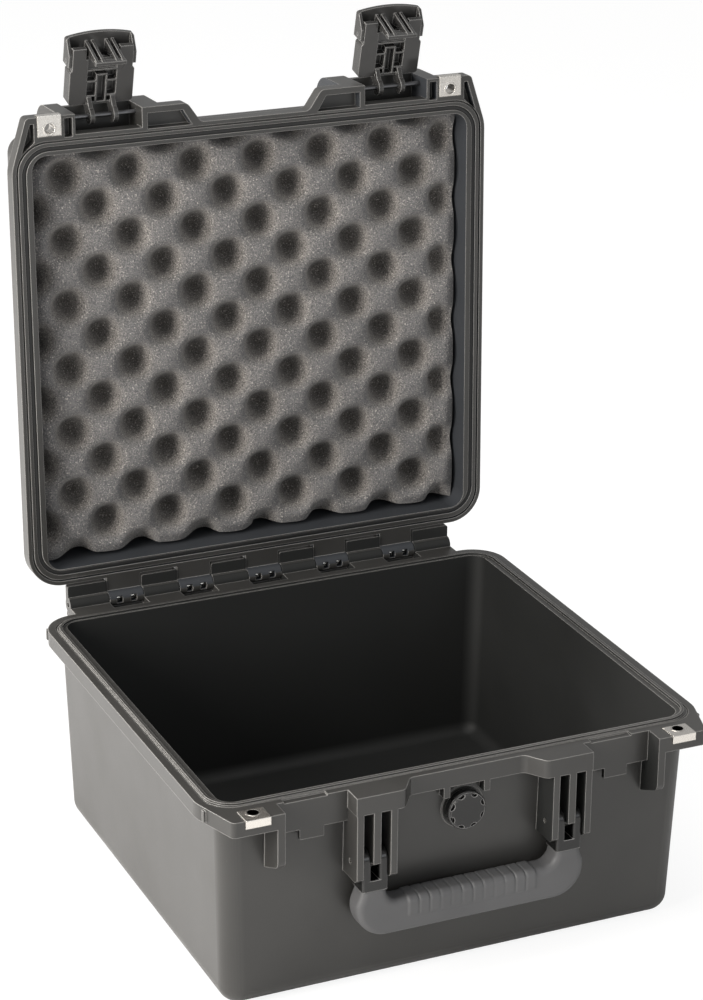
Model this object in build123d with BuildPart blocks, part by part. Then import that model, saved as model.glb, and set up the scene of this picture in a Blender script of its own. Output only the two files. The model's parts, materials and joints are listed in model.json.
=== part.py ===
from build123d import *
import math
import os

os.makedirs("parts", exist_ok=True)

# Overall sizes, in mm.
flange_width = 400.0
base_height = 165.2
lid_height = 64.0
body_depth = 350.1
closed_gap = 1.6
lid_open_angle = 91.65

# Ledges of the rim flange, outwards from the walls.
side_ledge = 12.35
front_ledge = 6.9
back_ledge = 8.4
ear_reach = 15.8
hinge_reach = 17.6

# Shells.
corner_radius = 15.0
wall_draft = 5.0
bottom_round = 14.0
side_wall = 3.65
front_wall = 7.5
back_wall = 5.1
floor_thickness = 5.0
roof_thickness = 4.0
cavity_corner = 12.0
cavity_round = 10.0
lid_round = 12.0

# Flange sections.
plate_thickness = 3.5
skirt_wall = 3.0
skirt_height = 12.0
cap_height = 14.2
latch_skirt_height = 24.2
flange_corner = 28.0
ear_bend_back = 39.8
ear_tip_inset = 12.5
ear_round = 4.0
ear_bend_round = 30.0
cap_round = 6.0
rib_overlap = 1.5
channel_rib = 3.0
channel_rib_pitch = 56.0

# Rim seal: a tongue on the base meets a seal in a groove of the lid.
tongue_inset = 9.6
tongue_front = 2.5
tongue_back = 2.0
tongue_width = 2.4
tongue_height = 1.8
tongue_corner = 20.0
groove_width = 3.4
groove_depth = 6.0
seal_clearance = 0.1
seal_gap = 0.3
drip_inset = 6.8
drip_front = 0.5
drip_width = 1.0
drip_depth = 1.0
lid_line_inset = 4.1
lid_line_width = 1.4
lid_line_depth = 3.0

# Front layout, measured inwards from the flange sides.
fin_inset = 51.8
fin_thickness = 6.0
fin_drop_front = 42.0
fin_drop_wall = 52.0
fin_round = 7.0
latch_inset = 78.5
latch_zone_inner = 106.0
bracket_inset = 122.25
cap_inner = 143.5
cap_slope = 11.0

# Padlock plates and eyelets.
eyelet_inset = 31.1
eyelet_back = 9.5
eyelet_bore = 4.0
eyelet_outer = 5.2
eyelet_boss = 8.0
eyelet_raise = 0.65
eyelet_tail = 0.6
plate_width = 19.0
plate_back = 15.3
plate_sheet = 1.0
plate_raise = 0.4
plate_lip = 6.3
plate_clearance = 0.1

# Handle and its brackets.
handle_drop = 54.7
handle_forward = 10.9
pin_radius = 2.0
running_clearance = 0.05
bracket_width = 31.5
bracket_drop = 68.2
prong_offset = 6.7
slot_width = 7.6
slot_back = 0.8
web_radius = 6.5
cheek_radius = 15.8
prong_width = 7.0
prong_radius = 9.3
prong_round = 1.8
notch_drop = 14.5
neck_drop = 23.0
arm_width = 18.4
grip_half_thickness = 9.5
grip_outer_extra = 4.3
grip_inner_extra = 2.0
grip_top_drop = 34.5
grip_bottom_drop = 61.5
grip_outer_round = 24.0
grip_shoulder_round = 12.0
grip_inner_round = 10.0
grip_edge_round = 5.0
core_width = 8.0
core_thickness = 8.0
core_bar_drop = 52.0
rib_count = 12
rib_pitch = 8.6
rib_width = 7.2
rib_raise = 0.8
rib_drop = 18.0

# Pressure valve.
valve_drop = 35.2
valve_pad_radius = 16.8
valve_pad_raise = 1.3
valve_gasket_radius = 14.2
valve_gasket_thickness = 1.5
valve_ring_radius = 15.2
valve_ring_height = 6.5
valve_cup_depth = 4.0
valve_cup_radius = 13.8
valve_cap_height = 4.6
valve_notches = 8
valve_notch_radius = 2.9
valve_spigot = 3.0
valve_spigot_length = 2.5
valve_neck_radius = 5.9
valve_hole_clearance = 0.1
valve_bore = 1.6
valve_seat_radius = 11.6
valve_seat_raise = 0.6
valve_nut_radius = 10.5
valve_nut_height = 5.0
valve_thread_tail = 1.0
lug_offset = 16.0
lug_width = 5.0
lug_height = 8.5

# Hinge.
knuckle_radius = 6.3
hinge_end_inset = 79.0
hinge_block_inset = 31.0
knuckle_share = 0.48
knuckle_gap = 0.5
knuckle_slot = 5.0
knuckle_window = 5.4
knuckle_slot_offset = 6.0
hinge_pin_recess = 1.0
hinge_tab_thickness = 5.5
hinge_tab_gap = 0.9
hinge_tab_round = 1.5
hinge_ledge_thickness = 3.0
hinge_ledge_reach = 4.0
hinge_ledge_gap = 0.6

# Strike tabs under the latch zones.
tab_half_width = 9.4
tab_drop = 32.2
tab_thickness = 3.5
notch_left = 21.2
notch_right = 11.8
notch_depth = 1.2
notch_back = 5.0

# Lid guards and pockets.
guard_inner_width = 17.0
guard_outer_width = 12.0
guard_shoulder = 9.0
guard_round = 20.0
pocket_depth = 9.0
pocket_wall = 2.5
cap_pocket_inset = 4.5
cap_pocket_side = 4.0
cap_pocket_slope = 3.5
cap_pocket_back = 1.4
fin_pocket_start = 2.3
fin_pocket_end = 8.8
ear_pocket_inset = 18.6
ear_pocket_near = 15.6
ear_pocket_far = 8.4
ear_pocket_wall = 5.0
ear_pocket_inner = 19.0
ear_pocket_outer = 28.0
back_web_rise = 29.5
back_web_thickness = 3.0

# Latches, measured from the rod axis; the lean is towards shut.
latch_lean = 16.0
rod_forward = 10.0
rod_rise = 15.0
rod_radius = 1.8
rod_half_length = 29.5
arm_offset = 9.5
latch_arm_width = 3.6
arm_radius = 6.5
latch_half_width = 26.0
latch_face = 5.5
latch_back = 17.5
latch_top = 7.0
latch_step = 36.2
latch_end = 54.0
latch_round = 2.5
rail_half_width = 24.4
arm_root = 6.0
arm_inset = 3.0
rail_back = 10.0
rail_inner = 13.6
centre_end = 45.0
well_half_width = 11.8
well_start = 9.0
well_end = 35.0
well_depth = 7.0
well_rib = 1.3
well_rib_places = (13.0, 25.5)
spine_half_width = 4.6
spine_end = 32.0
channel_depth = 2.0
button_half_width = 27.2
button_cheek = 2.4
button_start = 38.6
button_end = 62.5
button_arch = 110.0
button_taper_start = 47.0
button_taper_end = 61.0
button_inner = 6.4
button_under = 16.5
button_outer = 19.5
button_corner = 2.0
button_pin_inset = 0.2
button_pin_reach = 42.0
button_pin_rise = 13.0
button_pin_radius = 1.5
lug_radius = 3.0
lug_inner = 20.0
fin_offsets = (-10.5, -5.65, 5.65, 10.5)
hook_fin = 2.2
hook_half_width = 12.5
hook_start = 48.3
hook_end = 51.0
hook_reach = 12.5
hook_height = 4.5
hook_root = 5.0
hook_waist = 3.0
spring_outer = 2.7
spring_half_length = 3.6
spring_leg = 1.2
spring_leg_length = 9.0

# Foam liner of the lid.
foam_gap = 1.5
foam_face = 10.4
foam_corner = 12.0

# Derived positions, measured from the hinge axis.
half_width = flange_width / 2
flange_back = -hinge_reach
back_face = flange_back - back_ledge
front_face = back_face - body_depth
flange_front = front_face - front_ledge
ear_front = flange_front - ear_reach
hinge_y = -(front_face + back_face) / 2
hinge_z = base_height + closed_gap / 2
body_width = flange_width - 2 * side_ledge
body_middle = (front_face + back_face) / 2
cavity_front = front_face + front_wall
cavity_back = back_face - back_wall
cavity_width = body_width - 2 * side_wall
cavity_depth = cavity_back - cavity_front
cavity_middle = (cavity_front + cavity_back) / 2
lid_rim = closed_gap / 2
lid_top = lid_rim + lid_height
lid_draft = wall_draft * lid_height / base_height
front_draft = wall_draft / base_height
latch_x = half_width - latch_inset
bracket_x = half_width - bracket_inset
fin_x = half_width - fin_inset
zone_inner_x = half_width - latch_zone_inner
eyelet_x = half_width - eyelet_inset
eyelet_y = ear_front + eyelet_back
pivot_y = front_face - handle_forward
pivot_z = base_height - handle_drop
valve_z = base_height - valve_drop
rod_y = flange_front - rod_forward
sides = (("left", -1), ("right", 1))

# Frames: local y is the distance behind the hinge axis, local z the height.
open_angle = math.radians(lid_open_angle)
base_frame = Plane(origin=(0, hinge_y, 0))
lid_frame = Plane(
    origin=(0, hinge_y, hinge_z),
    x_dir=(1, 0, 0),
    z_dir=(0, math.sin(open_angle), math.cos(open_angle)),
)
latch_angle = open_angle - math.radians(latch_lean)
rod_point = lid_frame.from_local_coords((0, rod_y, rod_rise))
latch_turned = Plane(
    origin=(rod_point.X, rod_point.Y, rod_point.Z),
    x_dir=(1, 0, 0),
    z_dir=(0, math.sin(latch_angle), math.cos(latch_angle)),
)
latch_origin = latch_turned.from_local_coords((0, -rod_y, -rod_rise))
latch_frame = Plane(
    origin=(latch_origin.X, latch_origin.Y, latch_origin.Z),
    x_dir=latch_turned.x_dir,
    z_dir=latch_turned.z_dir,
)


def side_plane(frame, x):
    # A plane across the case at x; its local axes are the frame's y and z.
    return Plane(
        origin=frame.origin + frame.x_dir * x,
        x_dir=frame.y_dir,
        z_dir=frame.x_dir,
    )


def front_plane(frame, y):
    # A plane parallel to the front wall; its local axes are the frame's x and z.
    return Plane(
        origin=frame.origin + frame.y_dir * y,
        x_dir=frame.x_dir,
        z_dir=-frame.y_dir,
    )


def flange_outline(plane, inset):
    # The rim flange seen from above: ears, latch zones, bracket caps and bridge.
    cap_x = half_width - cap_inner
    half = (
        (half_width, flange_back, flange_corner),
        (half_width, ear_front + ear_bend_back, ear_bend_round),
        (half_width - ear_tip_inset, ear_front, ear_round),
        (fin_x, ear_front, 0),
        (fin_x, flange_front, 0),
        (zone_inner_x, flange_front, 0),
        (zone_inner_x, ear_front, 0),
        (cap_x, ear_front, cap_round),
        (cap_x - cap_slope, flange_front, cap_round),
    )
    points = [(x, y) for x, y, r in half]
    points += [(-x, y) for x, y, r in reversed(half)]
    radii = [r for x, y, r in half]
    radii += [r for x, y, r in reversed(half)]
    with BuildSketch(plane) as outline:
        with BuildLine():
            FilletPolyline(*points, radius=radii, close=True)
        make_face()
        if inset > 0:
            offset(amount=-inset)
    return outline.sketch


def rim_ring(plane, inset, front, back, width, corner):
    # A closed band that runs round the rim.
    across = 2 * (half_width - inset)
    along = back - front
    with BuildSketch(plane) as ring:
        with Locations((0, (front + back) / 2)):
            RectangleRounded(across + width, along + width, corner + width / 2)
            RectangleRounded(across - width, along - width, corner - width / 2, mode=Mode.SUBTRACT)
    return ring.sketch


def profile(plane, points, radii=None):
    # A closed polygon with rounded corners.
    with BuildSketch(plane) as shape:
        with BuildLine():
            if radii is None:
                Polyline(*points, close=True)
            else:
                FilletPolyline(*points, radius=radii, close=True)
        make_face()
    return shape.sketch


def block(frame, x0, x1, y0, y1, z0, z1, mode=Mode.ADD):
    # A box between the given limits of a frame.
    size = (abs(x1 - x0), abs(y1 - y0), abs(z1 - z0))
    middle = frame.from_local_coords(((x0 + x1) / 2, (y0 + y1) / 2, (z0 + z1) / 2))
    place = Plane(origin=middle, x_dir=frame.x_dir, z_dir=frame.z_dir)
    with Locations(place):
        Box(*size, mode=mode)


def rod_along_x(frame, x0, x1, y, z, radius, mode=Mode.ADD):
    # A cylinder whose axis runs across the case.
    middle = frame.from_local_coords(((x0 + x1) / 2, y, z))
    with Locations(Plane(origin=middle, x_dir=frame.y_dir, z_dir=frame.x_dir)):
        Cylinder(radius, abs(x1 - x0), mode=mode)


def rod_along_y(frame, x, z, y0, y1, radius, mode=Mode.ADD):
    # A cylinder whose axis runs from front to back.
    middle = frame.from_local_coords((x, (y0 + y1) / 2, z))
    with Locations(Plane(origin=middle, x_dir=frame.x_dir, z_dir=frame.y_dir)):
        Cylinder(radius, abs(y1 - y0), mode=mode)


def rod_upright(frame, x, y, z0, z1, radius, mode=Mode.ADD):
    # A cylinder whose axis stands on the rim plane.
    middle = frame.from_local_coords((x, y, (z0 + z1) / 2))
    with Locations(Plane(origin=middle, x_dir=frame.x_dir, z_dir=frame.z_dir)):
        Cylinder(radius, abs(z1 - z0), mode=mode)


def rounded_box_section(plane, width, depth, middle, corner):
    with BuildSketch(plane) as section:
        with Locations((0, middle)):
            RectangleRounded(width, depth, corner)
    return section.sketch


# Knuckle layout of the hinge.
knuckle_pitch = (half_width - hinge_end_inset) / 2
lid_knuckle = knuckle_pitch * knuckle_share
base_knuckle = knuckle_pitch - lid_knuckle - 2 * knuckle_gap
lid_knuckle_places = [n * knuckle_pitch for n in (-2, -1, 0, 1, 2)]
base_knuckle_places = [(n + 0.5) * knuckle_pitch for n in (-2, -1, 0, 1)]
block_inner_x = 2 * knuckle_pitch + lid_knuckle / 2 + knuckle_gap
block_outer_x = half_width - hinge_block_inset
base_knuckle_spans = [(x - base_knuckle / 2, x + base_knuckle / 2) for x in base_knuckle_places]
base_knuckle_spans += [(-block_outer_x, -block_inner_x), (block_inner_x, block_outer_x)]
web_overlap = 1.0
hinge_half_length = block_outer_x - hinge_pin_recess
hinge_tab_rise = math.sqrt((hinge_reach - hinge_tab_gap) ** 2 - hinge_tab_thickness**2)

# Blocks on the front wall are rooted this deep in it.
wall_root = front_face + front_wall - 2.0
valve_pad_y = front_face - valve_pad_raise + valve_drop * front_draft

# Base shell.
rim_plane = base_frame.offset(base_height)
with BuildPart() as base_shell:
    loft(
        [
            rounded_box_section(rim_plane, body_width, body_depth, body_middle, corner_radius),
            rounded_box_section(
                base_frame,
                body_width - 2 * wall_draft,
                body_depth - 2 * wall_draft,
                body_middle,
                corner_radius,
            ),
        ]
    )
    fillet(base_shell.faces().sort_by(Axis.Z)[0].edges(), bottom_round)
    extrude(flange_outline(rim_plane, 0), amount=-plate_thickness)
    skirt = flange_outline(rim_plane, 0) - flange_outline(rim_plane, skirt_wall)
    extrude(skirt, amount=-skirt_height)
    with BuildSketch(rim_plane) as cap_zone:
        add(flange_outline(Plane.XY, 0))
        with Locations((0, (ear_front + front_face) / 2)):
            Rectangle(2 * zone_inner_x, front_face - ear_front, mode=Mode.INTERSECT)
    extrude(amount=-cap_height)
    # Ribs in the hollow channel under the side and back flange.
    rib_rows = int(body_depth / channel_rib_pitch / 2)
    for n in range(-rib_rows, rib_rows + 1):
        y = body_middle + n * channel_rib_pitch
        for name, side in sides:
            block(
                base_frame,
                side * (body_width / 2 - rib_overlap),
                side * (half_width - skirt_wall / 2),
                y - channel_rib / 2,
                y + channel_rib / 2,
                base_height - skirt_height + rib_overlap,
                base_height - plate_thickness / 2,
            )
    back_rows = int(body_width / channel_rib_pitch / 2)
    for n in range(-back_rows, back_rows + 1):
        x = n * channel_rib_pitch
        block(
            base_frame,
            x - channel_rib / 2,
            x + channel_rib / 2,
            back_face - rib_overlap,
            flange_back - skirt_wall / 2,
            base_height - skirt_height + rib_overlap,
            base_height - plate_thickness / 2,
        )
    for name, side in sides:
        # Latch zone skirt, strike tab and guard fin.
        block(
            base_frame,
            side * zone_inner_x,
            side * (fin_x + fin_thickness / 2),
            flange_front,
            flange_front + skirt_wall,
            base_height - latch_skirt_height,
            base_height - plate_thickness / 2,
        )
        block(
            base_frame,
            side * (latch_x - tab_half_width),
            side * (latch_x + tab_half_width),
            flange_front,
            flange_front + tab_thickness,
            base_height - tab_drop,
            base_height - latch_skirt_height / 2,
        )
        fin = profile(
            side_plane(base_frame, side * fin_x),
            [
                (wall_root, base_height - 1),
                (ear_front, base_height - 1),
                (ear_front, base_height - fin_drop_front),
                (front_face, base_height - fin_drop_wall),
                (wall_root, base_height - fin_drop_wall),
            ],
            [0, 0, fin_round, 0, 0],
        )
        extrude(fin, amount=side * fin_thickness)
        # Handle bracket: back block, two cheeks and the middle web.
        block(
            base_frame,
            side * (bracket_x - bracket_width / 2),
            side * (bracket_x + bracket_width / 2),
            front_face - slot_back,
            wall_root,
            base_height - bracket_drop,
            base_height - cap_height,
        )
        corner_drop = math.sqrt(cheek_radius**2 - (pivot_y - ear_front) ** 2)
        corner_reach = math.sqrt(cheek_radius**2 - (bracket_drop - handle_drop) ** 2)
        cheek_points = [
            (wall_root, base_height - cap_height + 1),
            (ear_front, base_height - cap_height + 1),
            (ear_front, pivot_z - corner_drop),
            (pivot_y - corner_reach, base_height - bracket_drop),
            (wall_root, base_height - bracket_drop),
        ]
        cheek_inner = prong_offset + slot_width / 2
        for edge in (-1, 1):
            start = bracket_x + edge * cheek_inner
            cheek = profile(side_plane(base_frame, side * start), cheek_points)
            extrude(cheek, amount=side * edge * (bracket_width / 2 - cheek_inner))
        web_half = prong_offset - slot_width / 2
        with BuildSketch(side_plane(base_frame, side * (bracket_x - web_half))) as web:
            with Locations(((wall_root + pivot_y) / 2, (pivot_z + base_height - cap_height) / 2)):
                Rectangle(wall_root - pivot_y, base_height - cap_height - pivot_z + 2 * web_radius)
            with Locations(((ear_front + pivot_y) / 2, (pivot_z + base_height - cap_height) / 2)):
                Rectangle(pivot_y - ear_front, base_height - cap_height - pivot_z)
            with Locations((pivot_y, pivot_z)):
                Circle(web_radius)
            with Locations(((ear_front + wall_root) / 2, pivot_z)):
                Rectangle(
                    wall_root - ear_front,
                    2 * (base_height - cap_height / 2 - pivot_z),
                    mode=Mode.INTERSECT,
                )
        extrude(web.sketch, amount=side * 2 * web_half)
        # Valve lug under the bridge.
        block(
            base_frame,
            side * (lug_offset - lug_width / 2),
            side * (lug_offset + lug_width / 2),
            flange_front,
            wall_root,
            base_height - cap_height - lug_height,
            base_height - cap_height / 2,
        )
        # Eyelet boss.
        rod_upright(
            base_frame,
            side * eyelet_x,
            eyelet_y,
            base_height - skirt_height,
            base_height - plate_thickness / 2,
            eyelet_boss,
        )
    # Valve pad.
    rod_along_y(base_frame, 0, valve_z, valve_pad_y, wall_root, valve_pad_radius)
    # Hinge knuckles and their webs.
    for x0, x1 in base_knuckle_spans:
        knuckle = profile(
            side_plane(base_frame, x0),
            [
                (flange_back - web_overlap, base_height - skirt_height),
                (flange_back - web_overlap, base_height),
                (0, base_height),
                (0, hinge_z - knuckle_radius),
            ],
        )
        extrude(knuckle, amount=x1 - x0)
        rod_along_x(base_frame, x0, x1, 0, hinge_z, knuckle_radius)
        # Tab that stands in the opening between the knuckles of the open lid.
        tab = profile(
            front_plane(base_frame, 0),
            [
                (x0, hinge_z),
                (x0, hinge_z + hinge_tab_rise),
                (x1, hinge_z + hinge_tab_rise),
                (x1, hinge_z),
            ],
            [0, hinge_tab_round, hinge_tab_round, 0],
        )
        extrude(tab, amount=-hinge_tab_thickness)
    # Ledge under the whole row of knuckles.
    ledge_top = hinge_z - knuckle_radius - hinge_ledge_gap
    block(
        base_frame,
        -block_outer_x,
        block_outer_x,
        flange_back - web_overlap,
        hinge_ledge_reach,
        ledge_top - hinge_ledge_thickness,
        ledge_top,
    )
    # Rim tongue.
    tongue_front_y = front_face + tongue_front
    tongue_back_y = back_face - tongue_back
    extrude(
        rim_ring(rim_plane, tongue_inset, tongue_front_y, tongue_back_y, tongue_width, tongue_corner),
        amount=tongue_height,
    )
    # Cavity.
    cavity_drop = base_height - floor_thickness
    cavity_taper = wall_draft * cavity_drop / base_height
    loft(
        [
            rounded_box_section(rim_plane, cavity_width, cavity_depth, cavity_middle, cavity_corner),
            rounded_box_section(
                base_frame.offset(floor_thickness),
                cavity_width - 2 * cavity_taper,
                cavity_depth - 2 * cavity_taper,
                cavity_middle,
                cavity_corner,
            ),
        ],
        mode=Mode.SUBTRACT,
    )
    floor_faces = base_shell.faces().filter_by(Axis.Z).filter_by_position(
        Axis.Z, floor_thickness - 0.1, floor_thickness + 0.1
    )
    fillet(floor_faces[0].outer_wire().edges(), cavity_round)
    # Inner seat of the valve nut.
    valve_inner_y = cavity_front + valve_drop * front_draft + valve_seat_raise
    rod_along_y(base_frame, 0, valve_z, wall_root - 1, valve_inner_y, valve_seat_radius)
    # Drip groove outside the tongue.
    extrude(
        rim_ring(
            rim_plane,
            drip_inset,
            front_face - drip_front,
            back_face + drip_front,
            drip_width,
            tongue_corner,
        ),
        amount=-drip_depth,
        mode=Mode.SUBTRACT,
    )
    for name, side in sides:
        # Recess on the flange top in front of the tongue.
        block(
            base_frame,
            side * latch_x - notch_left,
            side * latch_x + notch_right,
            flange_front - 1,
            flange_front + notch_back,
            base_height - notch_depth,
            base_height + 1,
            mode=Mode.SUBTRACT,
        )
        # Seat of the padlock plate and bore of its eyelet.
        block(
            base_frame,
            side * (eyelet_x - plate_width / 2 - plate_clearance),
            side * (eyelet_x + plate_width / 2 + plate_clearance),
            ear_front - 1,
            ear_front + plate_back + plate_clearance,
            base_height - plate_sheet + plate_raise,
            base_height + 1,
            mode=Mode.SUBTRACT,
        )
        rod_upright(
            base_frame,
            side * eyelet_x,
            eyelet_y,
            base_height - skirt_height - 1,
            base_height + 1,
            eyelet_outer + running_clearance,
            mode=Mode.SUBTRACT,
        )
        # Bore of the handle pin.
        rod_along_x(
            base_frame,
            side * (bracket_x - bracket_width / 2 - 1),
            side * (bracket_x + bracket_width / 2 + 1),
            pivot_y,
            pivot_z,
            pin_radius + running_clearance,
            mode=Mode.SUBTRACT,
        )
    rod_along_y(
        base_frame,
        0,
        valve_z,
        front_face - 5,
        cavity_front + 5,
        valve_neck_radius + valve_hole_clearance,
        mode=Mode.SUBTRACT,
    )
    rod_along_x(
        base_frame,
        -block_outer_x - 1,
        block_outer_x + 1,
        0,
        hinge_z,
        pin_radius + running_clearance,
        mode=Mode.SUBTRACT,
    )
base_shell.part.label = "base_shell"
export_step(base_shell.part, "parts/base_shell.step")

# Hinge pin.
with BuildPart() as hinge_pin:
    rod_along_x(base_frame, -hinge_half_length, hinge_half_length, 0, hinge_z, pin_radius)
hinge_pin.part.label = "hinge_pin"
export_step(hinge_pin.part, "parts/hinge_pin.step")

# Padlock plates: a sheet over the ear, a folded lip and an eyelet, on both rims.
rims = (("base", base_frame, base_height, -1), ("lid", lid_frame, lid_rim, 1))
for body, frame, face, inward in rims:
    for name, side in sides:
        sheet_top = face - inward * plate_raise
        sheet_under = sheet_top + inward * plate_sheet
        with BuildPart() as padlock_plate:
            block(
                frame,
                side * (eyelet_x - plate_width / 2),
                side * (eyelet_x + plate_width / 2),
                ear_front - plate_clearance - plate_sheet,
                ear_front + plate_back,
                sheet_top,
                sheet_under,
            )
            block(
                frame,
                side * (eyelet_x - plate_width / 2),
                side * (eyelet_x + plate_width / 2),
                ear_front - plate_clearance - plate_sheet,
                ear_front - plate_clearance,
                sheet_top,
                sheet_top + inward * plate_lip,
            )
            rod_upright(
                frame,
                side * eyelet_x,
                eyelet_y,
                face - inward * eyelet_raise,
                face + inward * (skirt_height + eyelet_tail),
                eyelet_outer,
            )
            rod_upright(
                frame,
                side * eyelet_x,
                eyelet_y,
                face - inward,
                face + inward * (skirt_height + 2),
                eyelet_bore,
                mode=Mode.SUBTRACT,
            )
        padlock_plate.part.label = f"{body}_plate_{name}"
        export_step(padlock_plate.part, f"parts/{body}_plate_{name}.step")

# Handle pins.
for name, side in sides:
    with BuildPart() as handle_pin:
        rod_along_x(
            base_frame,
            side * (bracket_x - bracket_width / 2 + 0.2),
            side * (bracket_x + bracket_width / 2 - 0.2),
            pivot_y,
            pivot_z,
            pin_radius,
        )
    handle_pin.part.label = f"handle_pin_{name}"
    export_step(handle_pin.part, f"parts/handle_pin_{name}.step")

# Pressure valve: gasket, body with a cup, cap and nut.
valve_seat_y = valve_pad_y - valve_gasket_thickness
valve_front_y = valve_seat_y - valve_ring_height
valve_cup_y = valve_front_y + valve_cup_depth
valve_tail_y = valve_inner_y + valve_nut_height + valve_thread_tail
with BuildPart() as valve_gasket:
    rod_along_y(base_frame, 0, valve_z, valve_seat_y, valve_pad_y, valve_gasket_radius)
    rod_along_y(
        base_frame,
        0,
        valve_z,
        valve_seat_y - 1,
        valve_pad_y + 1,
        valve_neck_radius + valve_hole_clearance,
        mode=Mode.SUBTRACT,
    )
valve_gasket.part.label = "valve_gasket"
export_step(valve_gasket.part, "parts/valve_gasket.step")

with BuildPart() as valve_body:
    rod_along_y(base_frame, 0, valve_z, valve_front_y, valve_seat_y, valve_ring_radius)
    fillet(
        valve_body.edges().filter_by(GeomType.CIRCLE).sort_by(Axis.Y)[0],
        1.2,
    )
    rod_along_y(base_frame, 0, valve_z, valve_seat_y - 0.5, valve_tail_y, valve_neck_radius)
    rod_along_y(
        base_frame,
        0,
        valve_z,
        valve_front_y - 1,
        valve_cup_y,
        valve_cup_radius,
        mode=Mode.SUBTRACT,
    )
    rod_along_y(
        base_frame,
        0,
        valve_z,
        valve_cup_y - 1,
        valve_cup_y + valve_spigot_length,
        valve_spigot + running_clearance,
        mode=Mode.SUBTRACT,
    )
    rod_along_y(
        base_frame, 0, valve_z, valve_cup_y, valve_tail_y + 1, valve_bore, mode=Mode.SUBTRACT
    )
valve_body.part.label = "valve_body"
export_step(valve_body.part, "parts/valve_body.step")

with BuildPart() as valve_cap:
    cap_under_y = valve_cup_y - plate_clearance
    cap_radius = valve_cup_radius - running_clearance
    rod_along_y(base_frame, 0, valve_z, cap_under_y - valve_cap_height, cap_under_y, cap_radius)
    fillet(
        valve_cap.edges().filter_by(GeomType.CIRCLE).sort_by(Axis.Y)[0],
        0.8,
    )
    for n in range(valve_notches):
        turn = 2 * math.pi * (n + 0.5) / valve_notches
        rod_along_y(
            base_frame,
            (cap_radius + 0.6) * math.cos(turn),
            valve_z + (cap_radius + 0.6) * math.sin(turn),
            cap_under_y - valve_cap_height - 1,
            cap_under_y - 1.4,
            valve_notch_radius,
            mode=Mode.SUBTRACT,
        )
    rod_along_y(
        base_frame,
        0,
        valve_z,
        cap_under_y - 1,
        valve_cup_y + valve_spigot_length - plate_clearance,
        valve_spigot,
    )
valve_cap.part.label = "valve_cap"
export_step(valve_cap.part, "parts/valve_cap.step")

with BuildPart() as valve_nut:
    with BuildSketch(
        Plane(
            origin=base_frame.from_local_coords((0, valve_inner_y, valve_z)),
            x_dir=(1, 0, 0),
            z_dir=(0, 1, 0),
        )
    ) as nut_face:
        RegularPolygon(valve_nut_radius, 6)
        Circle(valve_neck_radius + running_clearance, mode=Mode.SUBTRACT)
    extrude(amount=valve_nut_height)
valve_nut.part.label = "valve_nut"
export_step(valve_nut.part, "parts/valve_nut.step")

# Handle core: two forked ends joined by a bar inside the grip.
core_top_z = pivot_z - notch_drop
core_bar_z = pivot_z - core_bar_drop
with BuildPart() as handle_core:
    neck_half = prong_offset + prong_width / 2
    for name, side in sides:
        for edge in (-1, 1):
            middle = bracket_x + edge * prong_offset
            rod_along_x(
                base_frame,
                side * (middle - prong_width / 2),
                side * (middle + prong_width / 2),
                pivot_y,
                pivot_z,
                prong_radius,
            )
            block(
                base_frame,
                side * (middle - prong_width / 2),
                side * (middle + prong_width / 2),
                pivot_y - prong_radius,
                pivot_y + prong_radius,
                pivot_z - neck_drop,
                pivot_z,
            )
        block(
            base_frame,
            side * (bracket_x - neck_half),
            side * (bracket_x + neck_half),
            pivot_y - prong_radius,
            pivot_y + prong_radius,
            pivot_z - neck_drop,
            core_top_z,
        )
        block(
            base_frame,
            side * (bracket_x - core_width / 2),
            side * (bracket_x + core_width / 2),
            pivot_y - core_thickness / 2,
            pivot_y + core_thickness / 2,
            core_bar_z - core_width / 2,
            core_top_z - 1,
        )
    block(
        base_frame,
        -bracket_x,
        bracket_x,
        pivot_y - core_thickness / 2,
        pivot_y + core_thickness / 2,
        core_bar_z - core_width / 2,
        core_bar_z + core_width / 2,
    )
    arches = handle_core.edges().filter_by(GeomType.CIRCLE).sort_by(Axis.Z)
    fillet(arches.filter_by(lambda arch: abs(arch.radius - prong_radius) < 0.01), prong_round)
    for name, side in sides:
        rod_along_x(
            base_frame,
            side * (bracket_x - bracket_width / 2),
            side * (bracket_x + bracket_width / 2),
            pivot_y,
            pivot_z,
            pin_radius + running_clearance,
            mode=Mode.SUBTRACT,
        )
handle_core.part.label = "handle_core"
export_step(handle_core.part, "parts/handle_core.step")

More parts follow.
